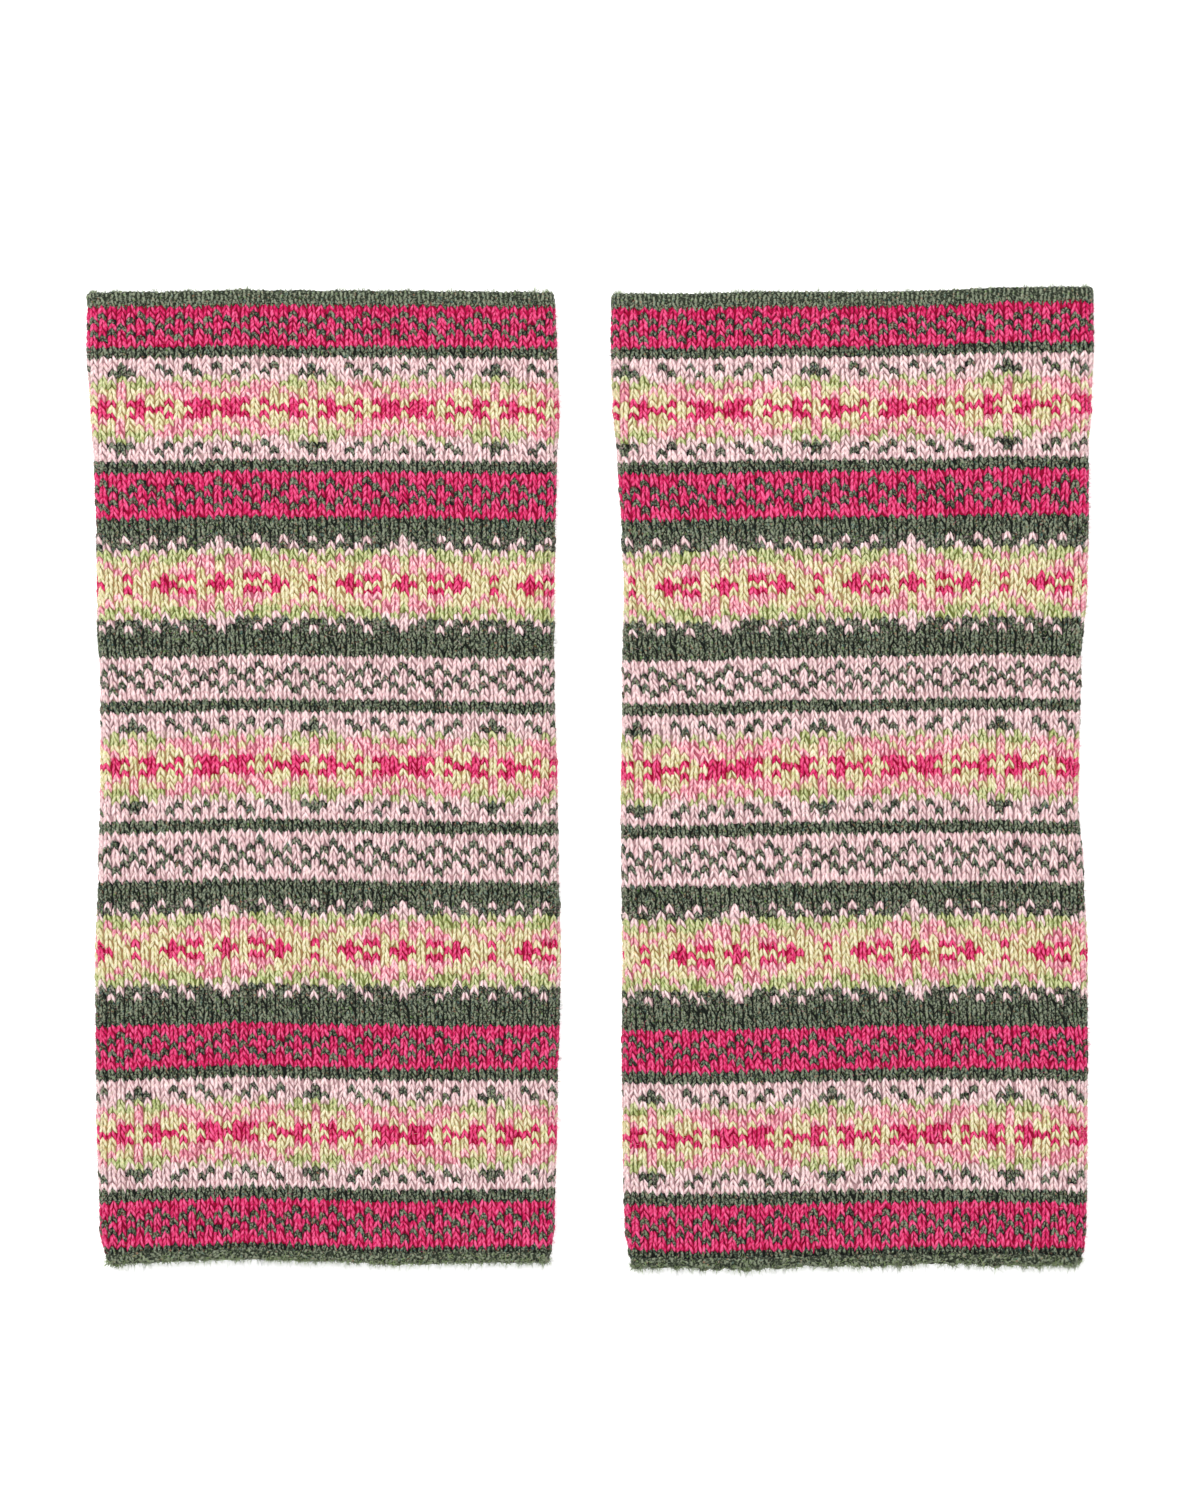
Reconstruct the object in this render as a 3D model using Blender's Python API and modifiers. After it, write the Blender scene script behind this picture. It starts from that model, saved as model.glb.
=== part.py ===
"""A pair of wrist warmers: two knitted tubes, laid flat side by side.

Each warmer is a tube of stranded knitting, pressed flat on a table so that its back layer lies on the
table and its front layer lies on the back one. A turned, double welt closes off the top end and a rolled
cast-off edge the bottom end. Both ends stay open: the hand goes in there.

Metres, +Z up, +Y towards the top ends, +X to the right. The origin is at table level, in the middle of
the pair.
"""

from collections import namedtuple
from math import cos, pi, sin

import bmesh
import bpy
from mathutils import Vector

MM = 0.001

# Cloth
WALL = 2.0 * MM                 # one layer of stranded knitting
SLIT = 0.6 * MM                 # air between the two layers of a tube laid flat
FOLD_LIFT = 0.5 * MM            # the cloth stands a little higher along its side folds
FOLD_LIFT_REACH = 9.0 * MM      # how far in from a fold that lift can be seen
SEAM_GAP = 0.3 * MM             # left between pieces that are knitted on to each other

# Turned welt at the top end
WELT_DEPTH = 3.4 * MM           # along the tube
WELT_WALL = 2.3 * MM            # two thin layers of plain knitting
WELT_PROUD = 0.2 * MM           # how far the welt stands out of the body's side folds
WELT_SQUARENESS = 0.6           # of its cut face: 1 is an oval, 0 a rectangle

# Rolled edge at the bottom end
ROLL_DEPTH = 3.2 * MM           # along the tube
ROLL_WALL = 2.5 * MM            # the roll's own thickness
ROLL_SQUARENESS = 0.85
RIM_SLIT = 0.3 * MM             # air between the two layers of a welt or a rolled edge

# Gentle unevenness of the front layer
RUMPLE_HEIGHT = 0.22 * MM
RUMPLE_ACROSS = 41.0 * MM       # from crest to crest, across the warmer
RUMPLE_ALONG = 57.0 * MM        # and along it
RUMPLE_SLANT = 200.0 * MM       # the crests cross the warmer once in this length

# How finely the tubes are divided
FRONT_STEPS = 18
FOLD_STEPS = 6
BACK_STEPS = 6
LOOP_STEPS = FRONT_STEPS + 2 * FOLD_STEPS + BACK_STEPS
TUBE_STEPS = 22
RIM_STEPS = 8

GREEN = (0.065, 0.095, 0.058, 1.0)
ROSE = (0.62, 0.20, 0.26, 1.0)
WOOL_ROUGHNESS = 0.9

# A section: millimetres below the top edge, and from the middle line to each side fold
Section = namedtuple("Section", "down left right")

LEFT_SECTIONS = (
    Section(0.0, 50.3, 50.1),
    Section(12.0, 50.5, 50.6),
    Section(26.0, 49.7, 51.1),
    Section(36.0, 48.9, 50.6),
    Section(52.0, 48.4, 50.2),
    Section(73.0, 48.2, 50.0),
    Section(84.0, 47.5, 50.0),
    Section(107.0, 47.6, 50.7),
    Section(125.0, 48.0, 51.0),
    Section(143.0, 48.6, 51.4),
    Section(176.0, 48.4, 50.7),
    Section(202.0, 47.6, 50.0),
    Section(206.5, 46.7, 49.5),
    Section(210.0, 45.8, 49.2),
)

RIGHT_SECTIONS = (
    Section(0.0, 51.9, 51.7),
    Section(13.0, 52.0, 51.8),
    Section(25.0, 51.6, 51.3),
    Section(34.0, 50.7, 50.7),
    Section(51.0, 49.7, 50.7),
    Section(64.0, 49.2, 50.4),
    Section(81.0, 49.5, 49.0),
    Section(111.0, 49.9, 48.5),
    Section(125.0, 49.7, 49.6),
    Section(143.0, 49.5, 50.4),
    Section(162.0, 49.6, 50.5),
    Section(188.0, 49.4, 50.4),
    Section(202.0, 49.0, 50.2),
    Section(206.5, 48.3, 49.7),
    Section(211.0, 47.6, 49.0),
)

# How the knitted rows of an end drift up (+) or down (-) of their level, in millimetres, at even steps
# across from the left fold to the right one
Drift = namedtuple("Drift", "left_fold left_outer left_inner middle right_inner right_outer right_fold")

# A warmer: its name, its middle line, its top edge's level on the table, the drift of its two ends, and
# its sections
Warmer = namedtuple("Warmer", "side middle top top_drift bottom_drift sections")

WARMERS = (
    Warmer("left", -57.7 * MM, 104.8 * MM,
           Drift(-0.20, -0.10, 0.30, 0.15, 0.10, -0.05, -0.25),
           Drift(-0.45, 0.15, 0.65, 0.20, -0.40, -0.15, 0.00),
           LEFT_SECTIONS),
    Warmer("right", 56.7 * MM, 104.9 * MM,
           Drift(-0.60, -0.60, -0.15, -0.30, 0.05, 0.80, 0.85),
           Drift(-0.20, -0.60, -0.30, 0.15, 0.45, 0.30, 0.15),
           RIGHT_SECTIONS),
)


def eased(t):
    """A fraction that starts and ends gently."""
    return t * t * (3.0 - 2.0 * t)


def length_of(warmer):
    """The warmer's whole length, edge to edge, in metres."""
    return warmer.sections[-1].down * MM


def half_widths(warmer, down):
    """The distances from the middle line to the left and right folds, in metres."""
    rows = warmer.sections
    at = min(max(down / MM, rows[0].down), rows[-1].down)
    for upper, lower in zip(rows, rows[1:]):
        if at <= lower.down:
            t = eased((at - upper.down) / (lower.down - upper.down))
            left = upper.left + t * (lower.left - upper.left)
            right = upper.right + t * (lower.right - upper.right)
            return left * MM, right * MM
    return rows[-1].left * MM, rows[-1].right * MM


def drift_at(drift, across):
    """An end's drift in metres, across being -1 at the left fold and 1 at the right one."""
    spans = len(drift) - 1
    at = min(max(0.5 * (across + 1.0), 0.0), 1.0) * spans
    first = min(int(at), spans - 1)
    return (drift[first] + eased(at - first) * (drift[first + 1] - drift[first])) * MM


def along(warmer, down, x):
    """The Y of a point that lies this far below the top edge, at x from the middle line."""
    left, right = half_widths(warmer, down)
    across = x / (right if x > 0.0 else left)
    top = drift_at(warmer.top_drift, across)
    bottom = drift_at(warmer.bottom_drift, across)
    return warmer.top - down + top + (bottom - top) * down / length_of(warmer)


def flat_loop(u, left, right, height, inset):
    """A point of a tube pressed flat, and its outward direction, as x, z, nx, nz.

    u runs once round: over the front from left to right, down the right fold, back along the table and
    up the left fold. The inset moves the loop into the cloth.
    """
    step = (u % 1.0) * LOOP_STEPS
    centre = 0.5 * height
    radius = centre - inset
    low, high = -left + centre, right - centre
    if step <= FRONT_STEPS:
        t = step / FRONT_STEPS
        return low + t * (high - low), centre + radius, 0.0, 1.0
    step -= FRONT_STEPS
    if step <= FOLD_STEPS:
        turn = 0.5 * pi - pi * step / FOLD_STEPS
        return high + radius * cos(turn), centre + radius * sin(turn), cos(turn), sin(turn)
    step -= FOLD_STEPS
    if step <= BACK_STEPS:
        t = step / BACK_STEPS
        return high - t * (high - low), centre - radius, 0.0, -1.0
    turn = -0.5 * pi - pi * (step - BACK_STEPS) / FOLD_STEPS
    return low + radius * cos(turn), centre + radius * sin(turn), cos(turn), sin(turn)


def reshaped_grid(name, around, lengthwise, place):
    """A grid whose points are moved by place(u, v), with the edges that meet then joined."""
    shape = bmesh.new()
    bmesh.ops.create_grid(shape, x_segments=around, y_segments=lengthwise, size=0.5)
    for vertex in shape.verts:
        vertex.co = place(vertex.co.x + 0.5, vertex.co.y + 0.5)
    bmesh.ops.remove_doubles(shape, verts=shape.verts, dist=0.001 * MM)
    mesh = bpy.data.meshes.new(name)
    shape.to_mesh(mesh)
    shape.free()
    mesh.shade_smooth()
    return bpy.data.objects.new(name, mesh)


def front_lift(x, down, left, right):
    """How far the front layer stands above its flat height: along the folds, and in soft waves."""
    from_fold = min(x + left, right - x)
    fold = FOLD_LIFT * eased(max(0.0, 1.0 - from_fold / FOLD_LIFT_REACH))
    inner = eased(min(1.0, from_fold / FOLD_LIFT_REACH))
    crosswise = sin(2.0 * pi * (x / RUMPLE_ACROSS + down / RUMPLE_SLANT))
    lengthwise = cos(2.0 * pi * down / RUMPLE_ALONG)
    return fold + RUMPLE_HEIGHT * inner * (0.5 + 0.25 * crosswise + 0.25 * lengthwise)


def make_tube(warmer):
    """The knitted body: an open tube on its outer skin, thickened inwards."""
    height = 2.0 * WALL + SLIT
    start = WELT_DEPTH + SEAM_GAP
    end = length_of(warmer) - ROLL_DEPTH - SEAM_GAP

    def place(u, v):
        down = end + v * (start - end)
        left, right = half_widths(warmer, down)
        x, z, _, _ = flat_loop(u, left, right, height, 0.0)
        lift = front_lift(x, down, left, right)
        z += lift * z / height
        return Vector((warmer.middle + x, along(warmer, down, x), z))

    tube = reshaped_grid(warmer.side + "_tube", LOOP_STEPS, TUBE_STEPS, place)
    wall = tube.modifiers.new("Wall", "SOLIDIFY")
    wall.thickness = WALL
    wall.offset = -1.0
    wall.use_even_offset = True
    return tube


def make_rim(name, warmer, middle_down, depth, wall, proud, squareness):
    """A closed ring of cloth round one end: its cut face is an oval, squarer as squareness falls."""
    height = 2.0 * wall + RIM_SLIT
    left, right = half_widths(warmer, middle_down)

    def place(u, v):
        x, z, nx, nz = flat_loop(u, left + proud, right + proud, height, 0.5 * wall)
        turn = 2.0 * pi * (v % 1.0)
        out = signed_power(cos(turn), squareness) * 0.5 * wall
        up = signed_power(sin(turn), squareness) * 0.5 * depth
        x += nx * out
        return Vector((warmer.middle + x, along(warmer, middle_down, x) + up, z + nz * out))

    return reshaped_grid(name, LOOP_STEPS, RIM_STEPS, place)


def signed_power(value, power):
    """The value's size to a power, with its sign kept."""
    return (1.0 if value >= 0.0 else -1.0) * abs(value) ** power


def make_top_welt(warmer):
    """The turned hem at the top end."""
    return make_rim(warmer.side + "_top_welt", warmer, 0.5 * WELT_DEPTH,
                    WELT_DEPTH, WELT_WALL, WELT_PROUD, WELT_SQUARENESS)


def make_bottom_edge(warmer):
    """The rolled cast-off edge at the bottom end."""
    return make_rim(warmer.side + "_bottom_edge", warmer, length_of(warmer) - 0.5 * ROLL_DEPTH,
                    ROLL_DEPTH, ROLL_WALL, 0.0, ROLL_SQUARENESS)


def make_material(name, color):
    """Plain wool of one colour."""
    material = bpy.data.materials.new(name)
    material.use_nodes = True
    shader = material.node_tree.nodes["Principled BSDF"]
    shader.inputs["Base Color"].default_value = color
    shader.inputs["Roughness"].default_value = WOOL_ROUGHNESS
    shader.inputs["Metallic"].default_value = 0.0
    return material


def centre_pair(pieces):
    """Move all the pieces together, so that the pair's middle is over the origin."""
    points = [vertex.co for piece in pieces for vertex in piece.data.vertices]
    middle_x = 0.5 * (min(p.x for p in points) + max(p.x for p in points))
    middle_y = 0.5 * (min(p.y for p in points) + max(p.y for p in points))
    for point in points:
        point.x -= middle_x
        point.y -= middle_y


def main():
    for old in list(bpy.data.objects):
        bpy.data.objects.remove(old)
    collection = bpy.data.collections.new("wrist_warmers")
    bpy.context.scene.collection.children.link(collection)
    pieces = []
    for warmer in WARMERS:
        for make, color in ((make_tube, ROSE), (make_top_welt, GREEN), (make_bottom_edge, GREEN)):
            piece = make(warmer)
            piece.data.materials.append(make_material(piece.name + "_wool", color))
            collection.objects.link(piece)
            pieces.append(piece)
    centre_pair(pieces)


main()
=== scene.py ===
"""The looks of a pair of knitted wrist warmers, laid flat side by side.

Every stitch of the front and of the side folds is a pair of raised yarn legs, in the colour that a small
chart gives it. They stand on a thin tube of cloth, which carries the same chart round the back.
The turned welt, the rolled edge and the loose wool fibres are pieces of their own.

Metres, +Z up, +Y towards the welts. "Down" is the distance below a warmer's top edge, and "across" runs
from -1 at the left fold to 1 at the right one.
"""

from collections import namedtuple
from functools import partial
from math import pi

import bpy
import numpy as np
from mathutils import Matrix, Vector


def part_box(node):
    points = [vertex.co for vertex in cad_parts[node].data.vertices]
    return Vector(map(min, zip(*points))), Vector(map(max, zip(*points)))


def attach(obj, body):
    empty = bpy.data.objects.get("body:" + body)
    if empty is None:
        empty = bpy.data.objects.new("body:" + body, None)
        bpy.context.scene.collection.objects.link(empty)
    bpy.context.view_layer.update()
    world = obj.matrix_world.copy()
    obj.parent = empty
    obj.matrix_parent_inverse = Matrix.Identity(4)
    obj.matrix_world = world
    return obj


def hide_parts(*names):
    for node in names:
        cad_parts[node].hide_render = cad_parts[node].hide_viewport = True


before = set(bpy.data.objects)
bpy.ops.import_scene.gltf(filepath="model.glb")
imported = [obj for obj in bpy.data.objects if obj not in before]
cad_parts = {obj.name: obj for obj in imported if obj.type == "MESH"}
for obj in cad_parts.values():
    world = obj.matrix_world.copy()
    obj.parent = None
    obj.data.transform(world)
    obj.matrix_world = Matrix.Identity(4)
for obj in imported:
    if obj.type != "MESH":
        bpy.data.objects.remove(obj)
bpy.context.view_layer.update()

MM = 0.001


def rows_of(kind, *rows):
    """A table whose rows have named columns."""
    return tuple(kind(*row) for row in rows)


# ------ The warmers' measures, as in the solids ------

WALL = 2.0 * MM
SLIT = 0.6 * MM
FOLD_LIFT = 0.5 * MM
FOLD_LIFT_REACH = 9.0 * MM
WELT_DEPTH = 3.4 * MM
WELT_WALL = 2.3 * MM
WELT_PROUD = 0.2 * MM
WELT_SQUARENESS = 0.6
ROLL_DEPTH = 3.2 * MM
ROLL_WALL = 2.5 * MM
ROLL_SQUARENESS = 0.85
RIM_SLIT = 0.3 * MM
RUMPLE_HEIGHT = 0.22 * MM
RUMPLE_ACROSS = 41.0 * MM
RUMPLE_ALONG = 57.0 * MM
RUMPLE_SLANT = 200.0 * MM
TUBE_HEIGHT = 2.0 * WALL + SLIT

# Millimetres below the top edge, and from the middle line to each side fold
Section = namedtuple("Section", "down left right")

LEFT_SECTIONS = rows_of(
    Section, (0.0, 50.3, 50.1), (12.0, 50.5, 50.6), (26.0, 49.7, 51.1), (36.0, 48.9, 50.6),
    (52.0, 48.4, 50.2), (73.0, 48.2, 50.0), (84.0, 47.5, 50.0), (107.0, 47.6, 50.7),
    (125.0, 48.0, 51.0), (143.0, 48.6, 51.4), (176.0, 48.4, 50.7), (202.0, 47.6, 50.0),
    (206.5, 46.7, 49.5), (210.0, 45.8, 49.2),
)
RIGHT_SECTIONS = rows_of(
    Section, (0.0, 51.9, 51.7), (13.0, 52.0, 51.8), (25.0, 51.6, 51.3), (34.0, 50.7, 50.7),
    (51.0, 49.7, 50.7), (64.0, 49.2, 50.4), (81.0, 49.5, 49.0), (111.0, 49.9, 48.5),
    (125.0, 49.7, 49.6), (143.0, 49.5, 50.4), (162.0, 49.6, 50.5), (188.0, 49.4, 50.4),
    (202.0, 49.0, 50.2), (206.5, 48.3, 49.7), (211.0, 47.6, 49.0),
)

# How far the knitted rows drift up (+) or down (-), in millimetres, at even steps from fold to fold
Drift = namedtuple("Drift", "left_fold left_outer left_inner middle right_inner right_outer right_fold")

# Where a knitted row starts, in millimetres below the top edge
RowMark = namedtuple("RowMark", "row down")

LEFT_ROWS = rows_of(
    RowMark, (-1, 2.2), (0, 3.4), (9, 14.3), (28, 39.0), (38, 52.8), (57, 78.7), (66, 90.6),
    (85, 116.5), (95, 131.1), (114, 157.8), (123, 169.5), (142, 195.6), (149, 205.2), (150, 206.6),
)
RIGHT_ROWS = rows_of(
    RowMark, (-1, 2.2), (0, 3.4), (9, 14.0), (28, 38.8), (38, 52.7), (57, 78.9), (66, 90.6),
    (85, 117.0), (95, 131.7), (114, 158.5), (123, 170.0), (142, 196.3), (149, 205.9), (150, 207.3),
)

# Where the columns of stitches (the wales) numbered 0, 20 and 40 run, in millimetres from the middle line,
# and how far below the top edge, also in millimetres
WaleMark = namedtuple("WaleMark", "down wale_0 wale_20 wale_40")

LEFT_WALES = rows_of(
    WaleMark, (26.5, -43.0, -1.9, 37.5), (103.3, -40.4, -1.5, 36.8), (182.6, -39.2, -1.2, 36.5),
)
RIGHT_WALES = rows_of(
    WaleMark, (26.5, -49.3, -8.1, 33.3), (103.3, -46.3, -6.4, 31.5), (182.6, -43.2, -4.5, 33.7),
)

# A warmer: where its middle line and its top edge lie, how its rows drift at the top, half way down and at
# the bottom, its tables, and the seed of its unevenness
Warmer = namedtuple("Warmer", "side middle top top_drift middle_drift bottom_drift sections rows wales seed")

WARMERS = (
    Warmer("left", -57.7 * MM, 104.8 * MM,
           Drift(-0.20, -0.10, 0.30, 0.15, 0.10, -0.05, -0.25),
           Drift(-0.30, 0.05, 0.55, 0.20, 0.05, -0.25, -0.45),
           Drift(-0.45, 0.15, 0.65, 0.20, -0.40, -0.15, 0.00),
           LEFT_SECTIONS, LEFT_ROWS, LEFT_WALES, 11),
    Warmer("right", 56.7 * MM, 104.9 * MM,
           Drift(-0.60, -0.60, -0.15, -0.30, 0.05, 0.80, 0.85),
           Drift(-0.80, -0.65, 0.05, 0.25, 0.55, 0.50, 0.05),
           Drift(-0.20, -0.60, -0.30, 0.15, 0.45, 0.30, 0.15),
           RIGHT_SECTIONS, RIGHT_ROWS, RIGHT_WALES, 23),
)

# ------ The knitting chart ------

WALES = 100                     # stitches once round
REPEAT = 20                     # stitches in one repeat of the wide bands, and between two wale marks
FIRST_WALE = -8                 # the wales numbered from here ...
LAST_WALE = 56                  # ... to here follow the front; the rest share out the back

GREEN, ROSE, PALE, PINK, LIME, STRAW = range(6)
YARN_NAMES = ("dark_green", "raspberry", "pale_pink", "mid_pink", "lime", "straw")
YARN_LETTERS = {"G": GREEN, "R": ROSE, "P": PALE, "M": PINK, "L": LIME, "Y": STRAW}

# Half of the wide band's figure, from its centre wale (the first sign) to its edge wale (the last one),
# and from its first row to its middle one. "x" is the figure's yarn and "." the ground's.
FIGURE = (
    "x...x..x..x",
    "xx...x..x..",
    "x.x...x..x.",
    ".xxx...x..x",
    ".xx.x...x..",
    ".x.xxx...x.",
    "x..xx.x...x",
    "xx...xxx...",
)
PLAIN = ("...........",)
SMALL_FIGURE = ("....", "x...", ".x.x", "..x.", ".x.x", "x...", "....")

# A band: its rows as signs, whether they are half of a mirrored repeat, the wale where the repeat
# starts, and the ground's and the figure's yarn in each row
Band = namedtuple("Band", "rows mirrored start ground figure")


def there_and_back(rows):
    """The rows, and the same ones backwards, with the last one once only."""
    return rows + rows[-2::-1]


RINGS = Band(PLAIN + there_and_back(FIGURE) + PLAIN, True, 0,
             there_and_back("PPPPMMMRR"), there_and_back("PGGLLYYYY"))
DIAMONDS = Band(there_and_back(FIGURE), True, 10, there_and_back("GGLLYYYY"), there_and_back("PPPMMMRR"))
SPOTS_ON_ROSE = Band(SMALL_FIGURE, False, 10, "R" * 7, "G" * 7)
SPOTS_ON_PALE = Band(SMALL_FIGURE, False, 10, "P" * 7, "G" * 7)


def stripe(rows):
    """A plain dark green stripe."""
    return Band(PLAIN * rows, True, 0, "G" * rows, "G" * rows)


BANDS = (
    SPOTS_ON_ROSE, stripe(2), RINGS, stripe(2), SPOTS_ON_ROSE, stripe(3), DIAMONDS, stripe(4),
    SPOTS_ON_PALE, stripe(2), RINGS, stripe(2), SPOTS_ON_PALE, stripe(3), DIAMONDS, stripe(4),
    SPOTS_ON_ROSE, stripe(2), RINGS, stripe(2), SPOTS_ON_ROSE, stripe(1),
)


def knit_chart():
    """The yarn of every stitch and the yarn that floats behind it, as tables of rows by wales."""
    chart = []
    floats = []
    for band in BANDS:
        for signs, ground, figure in zip(band.rows, band.ground, band.figure):
            stranded = "x" in signs
            row = []
            behind = []
            for wale in range(WALES):
                at = (wale - band.start) % (REPEAT if band.mirrored else len(signs))
                if band.mirrored:
                    at = min(at, REPEAT - at)
                in_figure = signs[at] == "x"
                row.append(YARN_LETTERS[figure if in_figure else ground])
                behind.append(YARN_LETTERS[figure if stranded and not in_figure else ground])
            chart.append(row)
            floats.append(behind)
    return np.array(chart), np.array(floats)


CHART, FLOATS = knit_chart()
ROWS = len(CHART)

# ------ Where a point of the cloth lies ------


def eased(t):
    """Fractions that start and end gently."""
    return t * t * (3.0 - 2.0 * t)


def read_table(at, stations, values, ease=True):
    """The values between a table's stations."""
    stations = np.asarray(stations, float)
    values = np.asarray(values, float)
    at = np.clip(at, stations[0], stations[-1])
    first = np.clip(np.searchsorted(stations, at, side="right") - 1, 0, len(stations) - 2)
    t = (at - stations[first]) / (stations[first + 1] - stations[first])
    if ease:
        t = eased(t)
    return values[first] + t * (values[first + 1] - values[first])


def column(table, name):
    """One named column of a table."""
    return [getattr(row, name) for row in table]


def half_widths(warmer, down):
    """The distances from the middle line to the left and right folds."""
    at = down / MM
    stations = column(warmer.sections, "down")
    left = read_table(at, stations, column(warmer.sections, "left"))
    right = read_table(at, stations, column(warmer.sections, "right"))
    return left * MM, right * MM


def length_of(warmer):
    """The warmer's whole length."""
    return warmer.sections[-1].down * MM


def drift_of(warmer, down, x):
    """How far the rows have drifted up at this place."""
    left, right = half_widths(warmer, down)
    across = np.clip(x / np.where(x > 0.0, right, left), -1.0, 1.0)
    stations = np.linspace(-1.0, 1.0, len(warmer.top_drift))
    top, middle, bottom = (
        read_table(across, stations, drift)
        for drift in (warmer.top_drift, warmer.middle_drift, warmer.bottom_drift)
    )
    way = down / length_of(warmer)
    upper = top + (middle - top) * np.clip(2.0 * way, 0.0, 1.0)
    return (upper + (bottom - middle) * np.clip(2.0 * way - 1.0, 0.0, 1.0)) * MM


def front_lift(x, down, left, right):
    """How far the front layer stands above its flat height: along the folds, and in soft waves."""
    from_fold = np.minimum(x + left, right - x)
    fold = FOLD_LIFT * eased(np.clip(1.0 - from_fold / FOLD_LIFT_REACH, 0.0, 1.0))
    inner = eased(np.clip(from_fold / FOLD_LIFT_REACH, 0.0, 1.0))
    crosswise = np.sin(2.0 * pi * (x / RUMPLE_ACROSS + down / RUMPLE_SLANT))
    lengthwise = np.cos(2.0 * pi * down / RUMPLE_ALONG)
    return fold + RUMPLE_HEIGHT * inner * (0.5 + 0.25 * crosswise + 0.25 * lengthwise)


def flat_loop(s, left, right, height, inset):
    """Points of a tube pressed flat, and their outward direction, as x, z, nx, nz.

    s is the way round its skin, from the left end of its flat front, over the front, down the right
    fold, back underneath and up the left fold. The inset moves the points into the cloth.
    """
    centre = 0.5 * height
    radius = centre - inset
    low = -left + centre
    span = right - centre - low
    arc = pi * centre
    s = np.mod(s, 2.0 * (span + arc))
    past_front = s - span
    past_right = past_front - arc
    past_back = past_right - span
    turn = np.where(past_right < 0.0, 0.5 * pi - past_front / centre, -0.5 * pi - past_back / centre)
    on_front = past_front <= 0.0
    on_back = (past_right >= 0.0) & (past_back < 0.0)
    nx = np.where(on_front | on_back, 0.0, np.cos(turn))
    nz = np.where(on_front, 1.0, np.where(on_back, -1.0, np.sin(turn)))
    start = np.where(past_right < 0.0, low + span, low)
    x = np.where(on_front, low + s, np.where(on_back, low + span - past_right, start + radius * nx))
    return x, centre + radius * nz, nx, nz


def on_tube(warmer, s, down, rise):
    """Points that stand off the tube's outer skin by the rise."""
    left, right = half_widths(warmer, down)
    x, z, nx, nz = flat_loop(s, left, right, TUBE_HEIGHT, 0.0)
    z = z * (1.0 + front_lift(x, down, left, right) / TUBE_HEIGHT)
    y = warmer.top - down + drift_of(warmer, down, x)
    return np.stack([warmer.middle + x + nx * rise, y, z + nz * rise], axis=-1)


def round_of(warmer, down):
    """The length once round the tube's skin."""
    left, right = half_widths(warmer, down)
    return 2.0 * (left + right - TUBE_HEIGHT + 0.5 * pi * TUBE_HEIGHT)


def row_level(warmer, row):
    """How far below the top edge a knitted row starts."""
    marks = warmer.rows
    return read_table(row, column(marks, "row"), column(marks, "down"), ease=False) * MM


def wale_place(warmer, wale, down):
    """How far round the skin a wale runs at this level."""
    at = down / MM
    stations = column(warmer.wales, "down")
    zero, twenty, forty = (
        read_table(at, stations, column(warmer.wales, name)) * MM for name in WaleMark._fields[1:]
    )
    left, _ = half_widths(warmer, down)
    low = -left + 0.5 * TUBE_HEIGHT
    step_left = (twenty - zero) / REPEAT
    step_right = (forty - twenty) / REPEAT

    def followed(number):
        return twenty + (number - REPEAT) * np.where(number < REPEAT, step_left, step_right) - low

    first = followed(FIRST_WALE)
    last = followed(LAST_WALE)
    share = (wale - LAST_WALE) / (WALES - (LAST_WALE - FIRST_WALE))
    on_back = last + share * (first + round_of(warmer, down) - last)
    return np.where(wale <= LAST_WALE, followed(wale), on_back) + wander(wale, down)


# The wales aren't quite straight: how many waves there are once round, how far apart they are down the
# tube, and how far they push a wale aside
Wander = namedtuple("Wander", "waves along size")
WANDERS = rows_of(
    Wander, (3, 47.0 * MM, 0.12 * MM), (7, -23.0 * MM, 0.09 * MM), (16, 11.0 * MM, 0.07 * MM),
)


def wander(wale, down):
    """How far a wale strays aside at this level."""
    return sum(
        each.size * np.sin(2.0 * pi * (each.waves * wale / WALES + down / each.along)) for each in WANDERS
    )


def placed(warmer):
    """The warmer, moved as the solids were to bring the pair's middle over the origin, and how far."""
    left_box, right_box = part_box("left_tube"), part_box("right_tube")
    widest = (WARMERS[0].middle - max(column(LEFT_SECTIONS, "left")) * MM
              + WARMERS[1].middle + max(column(RIGHT_SECTIONS, "right")) * MM)
    shift_x = 0.5 * (left_box[0][0] + right_box[1][0] - widest)
    ends = WARMERS[1].top - length_of(WARMERS[1]) + min(WARMERS[1].bottom_drift) * MM
    shift_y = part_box("right_bottom_edge")[0][1] - ends
    return warmer._replace(middle=warmer.middle + shift_x, top=warmer.top + shift_y), shift_x, shift_y


# ------ Meshes and stitches ------


def add_attribute(mesh, label, values, domain="POINT"):
    """Gives a mesh an attribute of one, three or four numbers at each point or corner."""
    kinds = {1: ("FLOAT", "value"), 3: ("FLOAT_VECTOR", "vector"), 4: ("FLOAT_COLOR", "color")}
    kind, field = kinds[values.shape[1]]
    layer = mesh.attributes.new(label, kind, domain)
    layer.data.foreach_set(field, np.ascontiguousarray(values, np.float32).ravel())


def mesh_piece(name, points, faces, material, **attributes):
    """A smooth mesh piece with some attributes on its points."""
    mesh = bpy.data.meshes.new(name)
    mesh.vertices.add(len(points))
    mesh.vertices.foreach_set("co", np.ascontiguousarray(points, np.float32).ravel())
    mesh.loops.add(faces.size)
    mesh.loops.foreach_set("vertex_index", np.ascontiguousarray(faces, np.int32).ravel())
    mesh.polygons.add(len(faces))
    mesh.polygons.foreach_set("loop_start", np.arange(0, faces.size, faces.shape[1], dtype=np.int32))
    mesh.update(calc_edges=True)
    for label, values in attributes.items():
        add_attribute(mesh, label, values)
    mesh.shade_smooth()
    mesh.materials.append(material)
    piece = bpy.data.objects.new(name, mesh)
    bpy.context.scene.collection.objects.link(piece)
    return piece


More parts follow.
